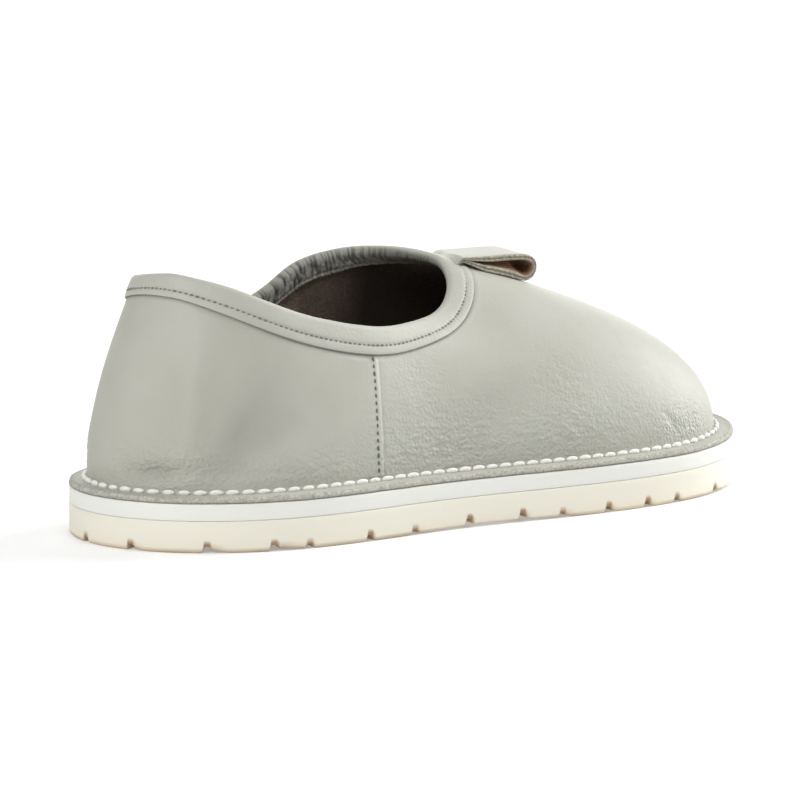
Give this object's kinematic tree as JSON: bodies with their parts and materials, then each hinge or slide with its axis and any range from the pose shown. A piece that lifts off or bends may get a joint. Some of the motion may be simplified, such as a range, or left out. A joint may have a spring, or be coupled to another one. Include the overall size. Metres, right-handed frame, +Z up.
{
  "type": "leather slip-on shoe",
  "caption": "Low stitch-down leather slip-on with a bound collar, a folded throat tab and a notched sheet sole; right shoe.",
  "frame": {"origin": "on the floor, under the middle of the heel seat", "axes": "+X towards the toe, +Y towards the inner side of the foot, +Z up"},
  "size_m": [0.2653, 0.1048, 0.0905],
  "materials": {
    "grey_leather": "smooth, satin, fine grain",
    "binding_leather": "smooth, satin, gathered on the inside",
    "brown_suede": "napped",
    "white_foam": "matt",
    "cream_rubber": "matt",
    "white_thread": "waxed",
    "grey_thread": "matt"
  },
  "bodies": {
    "root": {"outsole": "cream_rubber", "midsole": "white_foam", "insole": "brown_suede", "upper": "grey_leather", "collar_binding": "binding_leather", "throat_tab": "grey_leather"}
  },
  "joints": []
}
